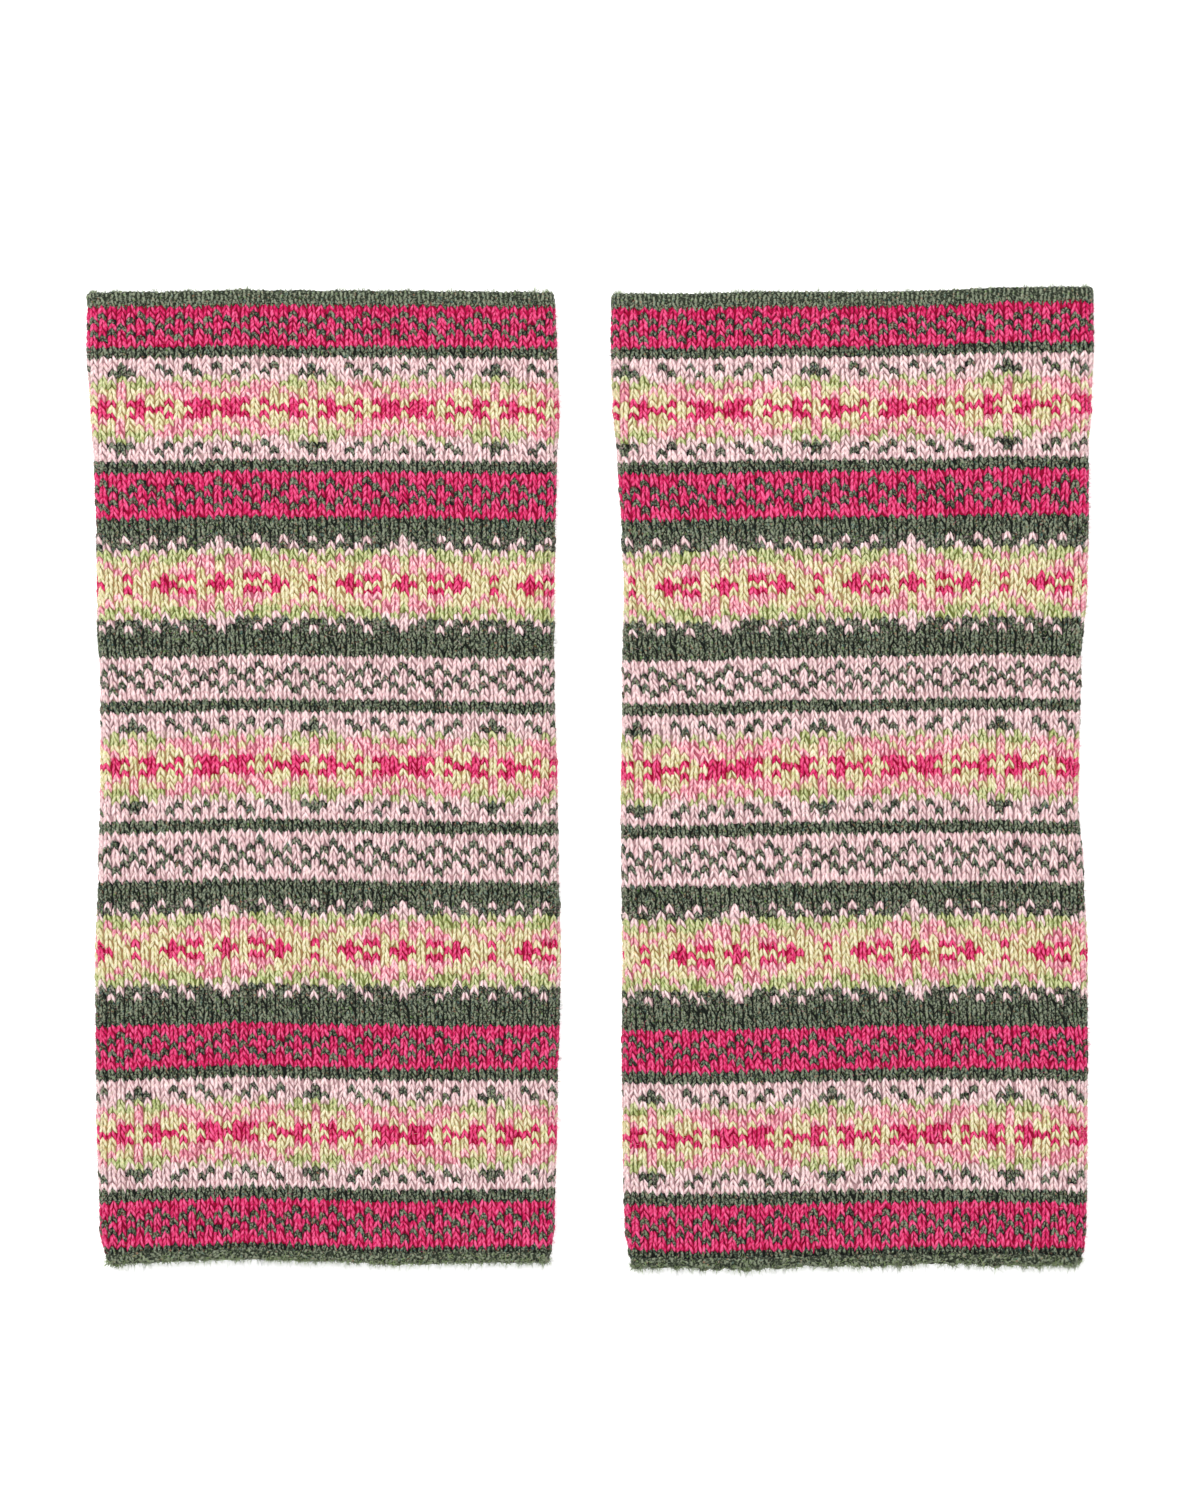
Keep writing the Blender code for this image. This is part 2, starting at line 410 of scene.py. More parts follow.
def strip_faces(rows, columns):
    """The four-sided faces of a patch of rows by columns of points."""
    first = (np.arange(rows - 1)[:, None] * columns + np.arange(columns - 1)).reshape(-1, 1)
    return first + np.array([0, columns, columns + 1, 1])


def repeated_faces(faces, points_each, count):
    """The faces of many equal patches, one after another."""
    return (np.arange(count)[:, None, None] * points_each + faces).reshape(-1, faces.shape[1])


def closed_faces(rings, around):
    """The four-sided faces of a skin that closes in both directions."""
    index = np.arange(rings * around).reshape(rings, around)
    below = np.roll(index, -1, axis=0)
    corners = [index, below, np.roll(below, -1, axis=1), np.roll(index, -1, axis=1)]
    return np.stack(corners, axis=-1).reshape(-1, 4)


# A yarn leg's shape at four places along it: how far along (in row heights), how far out from the
# wale's middle and how wide to each side (in half wales), and how high its crest stands
LegRing = namedtuple("LegRing", "along out half_width crest")

LEG = rows_of(
    LegRing,
    (-0.18, 0.20, 0.12, 0.00 * MM),
    (0.25, 0.33, 0.34, 0.25 * MM),
    (0.93, 0.53, 0.42, 0.20 * MM),
    (1.50, 0.72, 0.18, -0.20 * MM),
)
LEG_TURNS = np.radians([-88.0, -32.0, 32.0, 88.0])  # the points across a leg, round its rounded section
LEG_DEPTH = 0.55 * MM           # how far a leg's sides lie below its crest
LEG_FACES = strip_faces(len(LEG), len(LEG_TURNS))
LEG_POINTS = len(LEG) * len(LEG_TURNS)
LEG_LEANS = (-0.08, 0.18)       # how far the left and the right leg lean out, in half wales to a row
LEG_SUNK = (0.5, 0.0, 0.0, 0.8)  # how far each ring of a leg is shaded as if it lay in a crevice
NOISE_REACH = 400.0             # each leg's fibres start somewhere in this much of the noise
AMONG_FULLER = 0.14             # how much wider a dark green stitch is in a row with another yarn ... ... how much further it stands out ... ... and how much painted shade darkens it
AMONG_PROUD = 0.08 * MM         # ... how much further it stands out ...
AMONG_PAINTED_SHADE = -0.8              # ... and how its shade differs
FIRST_ROW_PAINTED_SHADOW = -1.5          # the painted shadow on the first row, which starts under the welt ... ... and on the last one, beside the roll
LAST_ROW_PAINTED_SHADOW = -1.4           # ... and of the last one, beside the roll
STITCHED_DOWN_TO = -0.85        # the legs go round the folds until the skin faces this far down

# How unevenly the legs lie: how far they are pushed aside and along (each by itself, and a stitch's two
# together), and how much each leans, swells, stretches and stands out
Uneven = namedtuple("Uneven", "sway shared_sway slip shared_slip lean plump reach stand")
UNEVEN = Uneven(0.06, 0.08, 0.09, 0.09, 0.14, 0.13, 0.08, 0.07 * MM)


def by_ring(table):
    """A table's columns, shaped to go with legs by rings by turns."""
    return {name: np.array(column(table, name))[None, :, None] for name in table[0]._fields}


def leg_patches(count, side, random, among):
    """Offsets of the points of many legs: along, out and rise, each as legs by rings by turns."""
    ring = by_ring(LEG)

    def own(spread):
        return random.normal(0.0, spread, (count, 1, 1))

    def shared(spread):
        return np.repeat(random.normal(0.0, spread, (count // 2, 1, 1)), 2, axis=0)

    sway = own(UNEVEN.sway) + shared(UNEVEN.shared_sway)
    lean = own(UNEVEN.lean) + np.where(side > 0.0, LEG_LEANS[1], LEG_LEANS[0])[:, None, None]
    plump = 1.0 + own(UNEVEN.plump) + AMONG_FULLER * among
    slip = own(UNEVEN.slip) + shared(UNEVEN.shared_slip)
    reach = 1.0 + own(UNEVEN.reach)
    stand = own(UNEVEN.stand) + AMONG_PROUD * among
    shape = (count, len(LEG), len(LEG_TURNS))
    along = ring["along"] * reach + slip
    out = side[:, None, None] * (ring["out"] + lean * (ring["along"] - 0.5)) + sway
    out = out + ring["half_width"] * plump * np.sin(LEG_TURNS)
    rise = ring["crest"] + stand - LEG_DEPTH * (1.0 - np.cos(LEG_TURNS))
    return tuple(np.broadcast_to(part, shape) for part in (along, out, rise))


def yarn_paint(behind, rings, sunk, random, lighter=0.0, uneven=1.0):
    """What the yarn's material reads for each leg: place on the yarn, shade, painted shade at its sides
    and where it dives, and the colour of the yarn behind."""
    count = len(behind)
    shape = (count, len(rings), len(LEG_TURNS))
    middles = np.array(column(YARNS, "middle"))
    lengthwise = np.broadcast_to(np.asarray(rings)[None, :, None], shape)
    around = np.broadcast_to(LEG_TURNS / (0.5 * pi), shape)
    own = np.broadcast_to(random.uniform(0.0, NOISE_REACH, (count, 1, 1)), shape)
    # painted shade: darkest at a leg's sides and at the rings that dive under other stitches
    edge = np.maximum(np.abs(around) ** 2, np.array(sunk)[None, :, None])
    return {
        "yarn": np.stack([around, lengthwise, own], axis=-1).reshape(-1, 3),
        "shade": np.broadcast_to(random.normal(lighter, uneven, (count, 1, 1)), shape).reshape(-1, 1),
        "edge": edge.reshape(-1, 1),
        "behind": np.repeat(middles[behind], len(rings) * len(LEG_TURNS), axis=0),
    }


def skin_facing(warmer, s, down):
    """How far the skin faces up, from -1 to 1."""
    left, right = half_widths(warmer, down)
    return flat_loop(s, left, right, TUBE_HEIGHT, 0.0)[3]


def make_stitches(warmer, materials, random):
    """The raised legs of the front and the folds, one piece for each yarn.

    The row above the chart is the welt's last one, which shows between the first stitches.
    """
    rows, wales = np.meshgrid(np.arange(-1, ROWS), np.arange(FIRST_WALE, LAST_WALE + 1), indexing="ij")
    rows, wales = rows.ravel(), wales.ravel()
    level = row_level(warmer, rows)
    facing = skin_facing(warmer, wale_place(warmer, wales, level), level)
    shown = facing > STITCHED_DOWN_TO
    rows, wales, level = rows[shown], wales[shown], level[shown]
    height = row_level(warmer, rows + 1) - level
    yarns = np.where(rows < 0, GREEN, CHART[rows, wales % WALES])
    pieces = []
    for yarn, name in enumerate(YARN_NAMES):
        picked = np.repeat(np.flatnonzero(yarns == yarn), 2)
        count = len(picked)
        side = np.tile([-1.0, 1.0], count // 2)
        behind = np.where(rows[picked] < 0, GREEN, FLOATS[rows[picked], wales[picked] % WALES])
        # dark green stitches in a row with another yarn are darkened with painted shade
        among = np.where((yarn == GREEN) & (behind != GREEN), 1.0, 0.0)
        along, out, rise = leg_patches(count, side, random, among[:, None, None])
        down = level[picked][:, None, None] + along * height[picked][:, None, None]
        wale = wales[picked][:, None, None] + 0.5 * out
        s = wale_place(warmer, wale, down)
        points = on_tube(warmer, s, down, rise).reshape(-1, 3)
        points[:, 2] = np.maximum(points[:, 2], 0.0)
        # painted shadow: the first row is darker under the welt and the last one beside the roll
        lighter = np.where(rows[picked] == 0, FIRST_ROW_PAINTED_SHADOW, AMONG_PAINTED_SHADE * among)
        lighter = np.where(rows[picked] == ROWS - 1, LAST_ROW_PAINTED_SHADOW, lighter)[:, None, None]
        paint = yarn_paint(behind, column(LEG, "along"), LEG_SUNK, random, lighter)
        faces = repeated_faces(LEG_FACES, LEG_POINTS, count)
        pieces.append(mesh_piece(f"{warmer.side}_{name}_stitches", points, faces, materials[yarn], **paint))
    return pieces


# ------ Colours and materials ------


def linear(red, green, blue):
    """A screen colour of 0 to 255 as the shader's own numbers."""
    parts = np.array([red, green, blue]) / 255.0
    parts = np.where(parts <= 0.04045, parts / 12.92, ((parts + 0.055) / 1.055) ** 2.4)
    return (*(float(part) for part in parts), 1.0)


# A yarn: its deep, middle and light tones, how much painted shade darkens it in a crevice, how strongly
# its marl and its single stitches differ, and how clear the stray fibres of the yarn behind are
Yarn = namedtuple("Yarn", "deep middle light crevice marl stitch strays")

YARNS = (
    Yarn(linear(22, 27, 22), linear(46, 53, 40), linear(134, 142, 120), 0.42, 3.0, 0.10, 0.28),
    Yarn(linear(150, 0, 48), linear(201, 20, 87), linear(241, 98, 149), 0.53, 0.9, 0.08, 0.12),
    Yarn(linear(180, 144, 146), linear(224, 191, 193), linear(249, 226, 226), 0.58, 1.0, 0.10, 0.08),
    Yarn(linear(186, 92, 116), linear(225, 146, 163), linear(248, 209, 213), 0.58, 1.2, 0.12, 0.06),
    Yarn(linear(114, 122, 60), linear(175, 183, 124), linear(218, 218, 174), 0.60, 1.2, 0.11, 0.06),
    Yarn(linear(170, 154, 100), linear(215, 206, 162), linear(239, 231, 201), 0.57, 1.1, 0.11, 0.06),
)
BED_SHADE = 0.85                # painted shade between the legs, this much of the yarn's deep tone
FLOAT_SHARE = 0.3               # how far a darker float behind darkens it; a lighter one lies in the shade

# The stray fibres of other colours in each yarn: rarer with a higher level, and clearer with a higher share
Fleck = namedtuple("Fleck", "color level share")
FLECKS = (
    (Fleck(linear(146, 96, 74), 0.61, 0.8), Fleck(linear(88, 122, 54), 0.60, 0.8),
     Fleck(linear(62, 98, 96), 0.60, 0.8), Fleck(linear(176, 186, 164), 0.65, 0.8)),
    (),
    (Fleck(linear(238, 166, 176), 0.56, 0.4), Fleck(linear(222, 212, 190), 0.56, 0.4)),
    (Fleck(linear(238, 104, 142), 0.56, 0.45), Fleck(linear(236, 196, 160), 0.57, 0.45)),
    (Fleck(linear(138, 174, 70), 0.55, 0.5), Fleck(linear(222, 190, 140), 0.57, 0.45)),
    (Fleck(linear(190, 208, 112), 0.55, 0.5), Fleck(linear(240, 176, 142), 0.58, 0.45)),
)


class Nodes:
    """A material's node tree, with short ways to add to it."""

    def __init__(self, name):
        self.material = bpy.data.materials.new(name)
        self.material.use_nodes = True
        self.tree = self.material.node_tree
        self.shader = self.tree.nodes["Principled BSDF"]

    def add(self, kind, settings=(), **inputs):
        """A new node; an input is a value or another node's output."""
        node = self.tree.nodes.new(kind)
        for name, value in dict(settings).items():
            setattr(node, name, value)
        for name, value in inputs.items():
            numbered = name[0] == "i" and name[1:].isdigit()
            self.give(node.inputs[int(name[1:]) if numbered else name], value)
        return node

    def give(self, socket, value):
        """Sets a socket, or links it."""
        if isinstance(value, bpy.types.NodeSocket):
            self.tree.links.new(value, socket)
        else:
            socket.default_value = value

    def shading(self, values):
        """Sets the shader's own values."""
        for name, value in values.items():
            self.shader.inputs[name].default_value = value

    def attribute(self, name):
        """A mesh attribute's node."""
        return self.add("ShaderNodeAttribute", {"attribute_name": name})

    def math(self, operation, first, second=0.5, clamp=False):
        """The result of a sum on numbers."""
        node = self.add("ShaderNodeMath", {"operation": operation, "use_clamp": clamp}, i0=first, i1=second)
        return node.outputs[0]

    def ramp(self, factor, *stops):
        """A colour ramp through the stops, each a place and a colour."""
        node = self.add("ShaderNodeValToRGB", i0=factor)
        elements = node.color_ramp.elements
        while len(elements) < len(stops):
            elements.new(0.5)
        for element, (place, color) in zip(elements, stops):
            element.position = place
            element.color = color
        return node.outputs["Color"]

    def noise(self, vector, scale, detail, roughness):
        """The strength of a noise."""
        node = self.add("ShaderNodeTexNoise", i0=vector, Scale=scale, Detail=detail, Roughness=roughness)
        return node.outputs[0]

    def mixed(self, factor, first, second, blend="MIX"):
        """Two colours mixed."""
        node = self.add("ShaderNodeMix", {"data_type": "RGBA", "blend_type": blend})
        self.give(node.inputs[0], factor)
        self.give(node.inputs[6], first)
        self.give(node.inputs[7], second)
        return node.outputs[2]

    def finish(self, color, height, depth):
        """Wires up a wool surface, with the height as a relief of this depth."""
        self.shading(WOOL_SHADING)
        self.give(self.shader.inputs["Base Color"], color)
        bump = self.add("ShaderNodeBump", Height=height, Strength=1.0, Distance=depth)
        self.give(self.shader.inputs["Normal"], bump.outputs["Normal"])
        return self.material


WOOL_SHADING = {"Roughness": 0.85, "Specular IOR Level": 0.10, "Sheen Weight": 0.10, "Sheen Roughness": 0.5}
MARL_SCALE = 1300.0             # the marl's patches are about 0.8 mm across ...
HEATHER_SCALE = 2300.0          # ... and the dark green wool's specks half of that
FLECK_SCALE = 1500.0
FLECK_CONTRAST = 9.0            # how sharply a stray fibre of another colour starts and ends


def swing(nodes, strength, value, middle=0.5):
    """A value's distance from its middle, made stronger or weaker."""
    return nodes.math("MULTIPLY", nodes.math("SUBTRACT", value, middle), strength)


def heathered(nodes, where, color, flecks):
    """The colour with stray fibres in it."""
    for number, fleck in enumerate(flecks):
        shift = (3.0 + 4.0 * number, 0.0, 0.0)
        moved = nodes.add("ShaderNodeVectorMath", {"operation": "ADD"}, i0=where, i1=shift)
        strays = nodes.noise(moved.outputs[0], FLECK_SCALE, 2.0, 0.6)
        strays = nodes.math("ADD", swing(nodes, FLECK_CONTRAST, strays, fleck.level), 0.0, True)
        color = nodes.mixed(nodes.math("MULTIPLY", strays, fleck.share), color, fleck.color)
    return color


PLY_STEP = 1.1                  # a leg's plies cross it this many rows apart
PLY_SHADE = 0.35                # how dark the painted shade in the grooves between them is ... ... against a ply's mean height
PLY_MIDDLE = 0.75               # ... against a ply's mean height
STRAYS_LEVEL = 0.55             # how rare the stray fibres of the yarn behind are
FIBRE_STRETCH = (3.2, 1.1, 1.0)  # a leg's own coordinates are stretched so that the fibres run along it
FIBRE_SHADE = 0.5               # how strongly the fibres show in a leg's tone ...
FIBRE_RELIEF = 0.7              # ... and in its relief, against the plies
# The crest's tone lies above the yarn's middle tone: a painted highlight along each leg's crest
CREST_TONE = 0.78               # the tone of a leg's crest, from 0, dark, to 1, light
TONE_STOPS = (0.08, 0.5, 0.95)  # the tones that a yarn's three colours stand for
YARN_RELIEF = 0.12 * MM


def plies(nodes, place):
    """How far a leg's surface stands out of the grooves between its plies, from 0 to 1."""
    place = nodes.add("ShaderNodeSeparateXYZ", i0=place)
    around, along, own = (place.outputs[number] for number in range(3))
    turn = nodes.math("ADD", nodes.math("DIVIDE", along, PLY_STEP), nodes.math("MULTIPLY", around, 0.5))
    wave = nodes.math("SINE", nodes.math("MULTIPLY", nodes.math("ADD", turn, own), pi))
    return nodes.math("POWER", nodes.math("ABSOLUTE", wave), 0.5)


def yarn_material(name, yarn, flecks, marl_scale):
    """Plied wool: marled fibres, a painted highlight on a leg's crest, and painted shade where it turns
    away or dives and in the grooves between its plies.
    """
    nodes = Nodes(name)
    place = nodes.attribute("yarn").outputs["Vector"]
    shade = nodes.attribute("shade").outputs["Fac"]
    edge = nodes.attribute("edge").outputs["Fac"]
    strays = Fleck(nodes.attribute("behind").outputs["Color"], STRAYS_LEVEL, yarn.strays)
    where = nodes.add("ShaderNodeTexCoord").outputs["Object"]
    stretched = nodes.add("ShaderNodeVectorMath", {"operation": "MULTIPLY"}, i0=place, i1=FIBRE_STRETCH)
    fibres = nodes.noise(stretched.outputs[0], 1.0, 3.0, 0.65)
    ply = plies(nodes, place)
    marl = nodes.noise(where, marl_scale, 2.0, 0.6)
    tone = nodes.math("ADD", swing(nodes, yarn.marl, marl), swing(nodes, FIBRE_SHADE, fibres))
    tone = nodes.math("ADD", tone, swing(nodes, PLY_SHADE, ply, PLY_MIDDLE))
    tone = nodes.math("ADD", tone, nodes.math("MULTIPLY", shade, yarn.stitch))
    # painted shade: the crevice darkening at a leg's sides and where it dives
    tone = nodes.math("SUBTRACT", tone, nodes.math("MULTIPLY", edge, yarn.crevice))
    tone = nodes.math("ADD", tone, CREST_TONE, True)
    color = nodes.ramp(tone, *zip(TONE_STOPS, (yarn.deep, yarn.middle, yarn.light)))
    height = nodes.math("ADD", ply, nodes.math("MULTIPLY", fibres, FIBRE_RELIEF))
    return nodes.finish(heathered(nodes, where, color, (strays, *flecks)), height, YARN_RELIEF)


STITCH_SLANT = 1.4              # how far the painted stitches of the cloth slant, in rows to a half wale
CLOTH_FIBRES = 2600.0           # the fineness of the cloth's fibres
CLOTH_FIBRE_RELIEF = 0.35       # how strongly they show in its relief, against the stitches
CLOTH_RELIEF = 0.35 * MM
# Painted shade and highlight of the cloth's relief: its colour is multiplied by this, darker low, lighter
# high
CLOTH_SHADE = ((0.0, (0.65, 0.65, 0.65, 1.0)), (1.0, (1.1, 1.1, 1.1, 1.0)))


def cloth_material():
    """The cloth: the chart's colours, with the stitches as relief where no legs cover it, and painted
    shade in the relief's grooves.
    """
    nodes = Nodes("patterned_wool")
    color = nodes.attribute("tint").outputs["Color"]
    where = nodes.add("ShaderNodeTexCoord").outputs["Object"]
    fibres = nodes.noise(where, CLOTH_FIBRES, 3.0, 0.6)
    knit = nodes.add("ShaderNodeSeparateXYZ", i0=nodes.attribute("knit").outputs["Vector"])
    wale, row, shown = (knit.outputs[number] for number in range(3))
    inside = nodes.math("ABSOLUTE", nodes.math("SUBTRACT", nodes.math("FRACT", wale), 0.5))
    slanted = nodes.math("FRACT", nodes.math("SUBTRACT", row, nodes.math("MULTIPLY", inside, STITCH_SLANT)))
    crest = nodes.math("SINE", nodes.math("MULTIPLY", slanted, pi))
    leg = nodes.math("SINE", nodes.math("MULTIPLY", nodes.math("MULTIPLY", inside, 2.0), pi))
    relief = nodes.math("MULTIPLY", nodes.math("POWER", crest, 0.5), nodes.math("POWER", leg, 0.5))
    relief = nodes.math("ADD", nodes.math("MULTIPLY", swing(nodes, 1.0, relief), shown), 0.5)
    height = nodes.math("ADD", relief, nodes.math("MULTIPLY", fibres, CLOTH_FIBRE_RELIEF))
    # painted shade in the relief's grooves, painted highlight on its crests
    tone = nodes.ramp(height, *CLOTH_SHADE)
    return nodes.finish(nodes.mixed(1.0, color, tone, "MULTIPLY"), height, CLOTH_RELIEF)


# ------ The tube of cloth ------

INNER_ROWS = 12                 # rings of points on the inside of a tube
TUCKED_IN = 0.6 * MM            # how far the cloth goes on under the welt and the roll
ROW_EDGE = 0.15                 # how far above a row its faces start, in rows, as its legs do
BED_DEPTH = 0.30 * MM           # how deep the legs are bedded in the cloth of the front


def covered_share(facing):
    """How far the legs cover the cloth: wholly on the front, and not at all on the underside."""
    return eased(np.clip(0.5 + 0.75 * facing, 0.0, 1.0))


def make_tube(warmer, material):
    """The thin tube under the legs, closed over its inside."""
    start = WELT_DEPTH - TUCKED_IN
    end = length_of(warmer) - ROLL_DEPTH + TUCKED_IN
    levels = np.clip(row_level(warmer, np.arange(ROWS + 1) + ROW_EDGE), start, end)
    levels[0], levels[-1] = start, end
    inner = np.linspace(end, start, INNER_ROWS)
    down = np.concatenate([levels, inner])[:, None]
    wales = np.arange(FIRST_WALE, FIRST_WALE + WALES)[None, :] - 0.5
    s = wale_place(warmer, wales, down)
    covered = covered_share(skin_facing(warmer, s, down))
    rise = -BED_DEPTH * covered
    rise[len(levels):] = -WALL
    points = on_tube(warmer, s, np.broadcast_to(down, s.shape), rise)
    piece = mesh_piece(warmer.side + "_cloth", points.reshape(-1, 3), closed_faces(*s.shape), material)
    paint_cloth(piece, covered)
    return piece


def paint_cloth(piece, covered):
    """Gives each face its stitch's colour, darkened by painted shade where legs cover it, and each of its
    corners its place in the knitting.
    """
    rings, around = covered.shape
    deep, middle = (np.array(column(YARNS, tone))[:, :3] for tone in ("deep", "middle"))
    wales = (np.arange(around) + FIRST_WALE) % WALES
    rows = np.clip(np.arange(rings), 0, ROWS - 1)
    rows[ROWS:] = np.linspace(ROWS - 1, 0, rings - ROWS).astype(int)
    yarns = CHART[rows[:, None], wales[None, :]]
    behind = FLOATS[rows[:, None], wales[None, :]]
    # painted shade: the cloth seen between the legs is darker than the yarn's deep tone
    bed = BED_SHADE * (deep[yarns] + FLOAT_SHARE * np.minimum(deep[behind] - deep[yarns], 0.0))
    colors = middle[yarns] + covered[:, :, None] * (bed - middle[yarns])
    rgba = np.concatenate([colors, np.ones((rings, around, 1))], axis=-1)
    add_attribute(piece.data, "tint", np.repeat(rgba.reshape(-1, 4), 4, axis=0), "CORNER")
    ring, side = np.meshgrid(np.arange(rings), np.arange(around), indexing="ij")
    places = np.stack([side, ring, 1.0 - covered], axis=-1).reshape(-1, 1, 3).repeat(4, axis=1)
    places = places + np.array([[0, 0, 0], [0, 1, 0], [1, 1, 0], [1, 0, 0]])
    add_attribute(piece.data, "knit", places.reshape(-1, 3), "CORNER")


# ------ Welt and rolled edge ------

Rim = namedtuple("Rim", "middle_down depth wall proud squareness")


def on_rim(warmer, rim, s, up, rise):
    """Points on a closed ring of cloth round one end; up runs towards the top edge from its middle."""
    height = 2.0 * rim.wall + RIM_SLIT
    left, right = half_widths(warmer, rim.middle_down)
    x, z, nx, nz = flat_loop(s, left + rim.proud, right + rim.proud, height, 0.5 * rim.wall)
    y = warmer.top - rim.middle_down + drift_of(warmer, rim.middle_down, x) + up
    return np.stack([warmer.middle + x + nx * rise, y, z + nz * rise], axis=-1)


def signed_power(value, power):
    """The values' sizes to a power, with their signs kept."""
    return np.sign(value) * np.abs(value) ** power


def rim_round(warmer, rim):
    """The length once round a rim's skin."""
    height = 2.0 * rim.wall + RIM_SLIT
    left, right = half_widths(warmer, rim.middle_down)
    return 2.0 * (left + right + 2.0 * rim.proud - height + 0.5 * pi * height)


RIM_AROUND = 420
RIM_RINGS = 14
PROFILE_STEPS = 721

# A rim's section: at each turn, from -180 to 180 degrees, the way along its skin from the front's middle
# (towards the top edge), and how far out and up the skin stands
Profile = namedtuple("Profile", "turn way out up")

# Lumps in a rim's skin: waves round the rim, with the turns, the starts and the sizes of each
Lumps = namedtuple("Lumps", "cycles rolls phases sizes")

# The skin of a welt or a rolled edge
Skin = namedtuple("Skin", "warmer rim profile lumps")


def profile_of(rim, shrink):
    """The rim's section as a table."""
    turn = np.linspace(-pi, pi, PROFILE_STEPS)
    out = signed_power(np.cos(turn), rim.squareness) * (0.5 * rim.wall - shrink)
    up = signed_power(np.sin(turn), rim.squareness) * (0.5 * rim.depth - shrink)
    way = np.concatenate([[0.0], np.cumsum(np.hypot(np.diff(out), np.diff(up)))])
    return Profile(turn, way - way[PROFILE_STEPS // 2], out, up)


def make_lumps(cycles, size, random):
    """Lumps of about this size with these numbers of waves round the rim."""
    every = [(cycle, roll) for cycle in cycles for roll in (0, 1, 2)]
    cycles, rolls = (np.array(part, float) for part in zip(*every))
    phases = random.uniform(0.0, 2.0 * pi, len(every))
    sizes = size * random.normal(0.0, 1.0, len(every)) / np.sqrt(len(every))
    return Lumps(cycles, rolls, phases, sizes)


def swell_of(lumps, share, turn):
    """How far the lumps push the skin out, at this share of the way round."""
    total = 0.0
    for cycles, roll, phase, size in zip(*lumps):
        total = total + size * np.sin(2.0 * pi * cycles * share + roll * turn + phase)
    return total


def on_skin(skin, s, way, rise):
    """Points that stand off a rim's lumpy skin by the rise."""
    profile = skin.profile
    turn, out, up = (np.interp(way, profile.way, part) for part in (profile.turn, profile.out, profile.up))
    rise = rise + swell_of(skin.lumps, s / rim_round(skin.warmer, skin.rim), turn)
    points = on_rim(skin.warmer, skin.rim, s, up + rise * np.sin(turn), out + rise * np.cos(turn))
    points[..., 2] = np.maximum(points[..., 2], 0.0)
    return points


def make_rim(name, skin, material):
    """The body of a welt or a rolled edge: a ring with an oval section and a lumpy skin."""
    s = np.linspace(0.0, rim_round(skin.warmer, skin.rim), RIM_AROUND, endpoint=False)[None, :]
    turn = np.linspace(-pi, pi, RIM_RINGS, endpoint=False)[:, None]
    s, way = np.broadcast_arrays(s, np.interp(turn, skin.profile.turn, skin.profile.way))
    points = on_skin(skin, s, way, 0.0).reshape(-1, 3)
    return mesh_piece(name, points, closed_faces(*s.shape), material)


FELT_CONTRAST = 2.4             # how strongly the specks of the rims' bodies show ... ... and how light the bodies are: painted shade between the strokes
FELT_TONE = 0.52                # ... and how light the bodies are
FELT_STOPS = (0.05, 0.6, 1.0)   # the tones that the yarn's three colours stand for
FELT_RELIEF = 0.3 * MM


def felt_material(name, yarn):
    """Heathered wool with no clear stitches, with painted shade where it shows between the strokes."""
    nodes = Nodes(name)
    where = nodes.add("ShaderNodeTexCoord").outputs["Object"]
    fibres = nodes.noise(where, HEATHER_SCALE, 3.0, 0.7)
    tone = nodes.math("ADD", swing(nodes, FELT_CONTRAST, fibres), FELT_TONE, True)
    color = nodes.ramp(tone, *zip(FELT_STOPS, (yarn.deep, yarn.middle, yarn.light)))
    return nodes.finish(color, fibres, FELT_RELIEF)


# A short stroke of yarn at four places along it: how far along (in lengths), how wide (in half widths),
# and how high its crest stands
StrokeRing = namedtuple("StrokeRing", "along half_width crest")

STROKE = rows_of(
    StrokeRing,
    (-0.5, 0.35, -0.12 * MM), (-0.2, 1.0, 0.20 * MM), (0.2, 1.0, 0.20 * MM), (0.5, 0.35, -0.12 * MM),
)
STROKE_DEPTH = 0.5 * MM         # how far a stroke's sides lie below its crest
STROKE_SUNK = (0.8, 0.0, 0.0, 0.8)  # how far each of its rings is shaded as if it lay in a crevice
STROKE_STRETCH = 1.4            # how long a stroke is for its fibres and plies, in rows
STROKE_SIZES = 0.12             # how much the strokes differ in size ...
STROKE_STANDS = 0.08 * MM       # ... and in how far they stand out

# A rim's strokes: the turns that they lie between, how far apart they are (round and along the skin), how
# far they stray, their length and half width, how far they tilt (always, and at random), how far they
# curl, how much lighter and more uneven they are than the tube's stitches, and how much painted shade
# darkens them with each millimetre up the skin, towards the crease where the roll meets the tube
Strokes = namedtuple(
    "Strokes", "first last apart step stray length half_width tilt spread curl lighter uneven darkening"
)

WELT_STROKES = Strokes(-80.0, 140.0, 0.98 * MM, 0.95 * MM, 0.09 * MM, 1.7 * MM, 0.35 * MM, 11.0, 10.0,
                       0.07 * MM, 1.7, 1.3, 0.0)
ROLL_STROKES = Strokes(-150.0, 100.0, 0.95 * MM, 0.75 * MM, 0.32 * MM, 1.4 * MM, 0.32 * MM, 0.0, 52.0,
                       0.30 * MM, 2.9, 2.0, 2.0)


